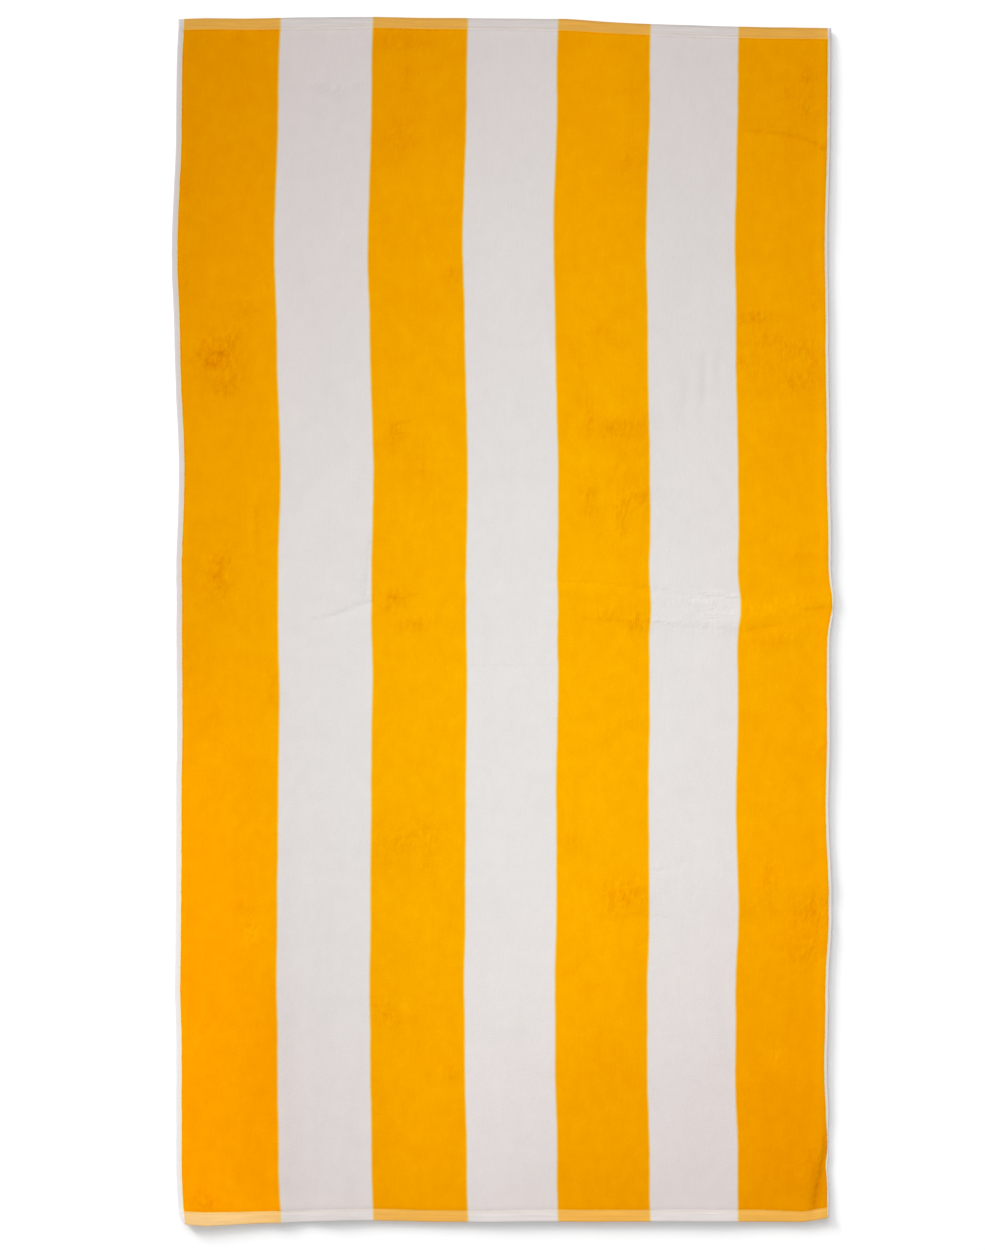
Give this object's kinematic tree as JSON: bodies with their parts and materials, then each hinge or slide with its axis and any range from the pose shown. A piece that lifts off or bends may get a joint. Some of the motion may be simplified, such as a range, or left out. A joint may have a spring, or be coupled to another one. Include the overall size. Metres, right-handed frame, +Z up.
{
  "type": "beach towel",
  "caption": "Striped velour beach towel lying face up and smoothed out flat, with flat-woven hemmed ends and narrow selvedges.",
  "frame": {"origin": "on the surface under the middle of the towel's box", "axes": "+X to the towel's right, +Y along its length towards the head edge, +Z up out of its face"},
  "size_m": [0.8806, 1.609, 0.0076],
  "materials": {
    "towelling": "sheared cotton pile in broad golden yellow and white stripes, with plain-woven white selvedges and pale hems",
    "sewing_thread": "straw-coloured cotton lockstitch"
  },
  "bodies": {
    "root": {"towel": "towelling"}
  },
  "joints": []
}
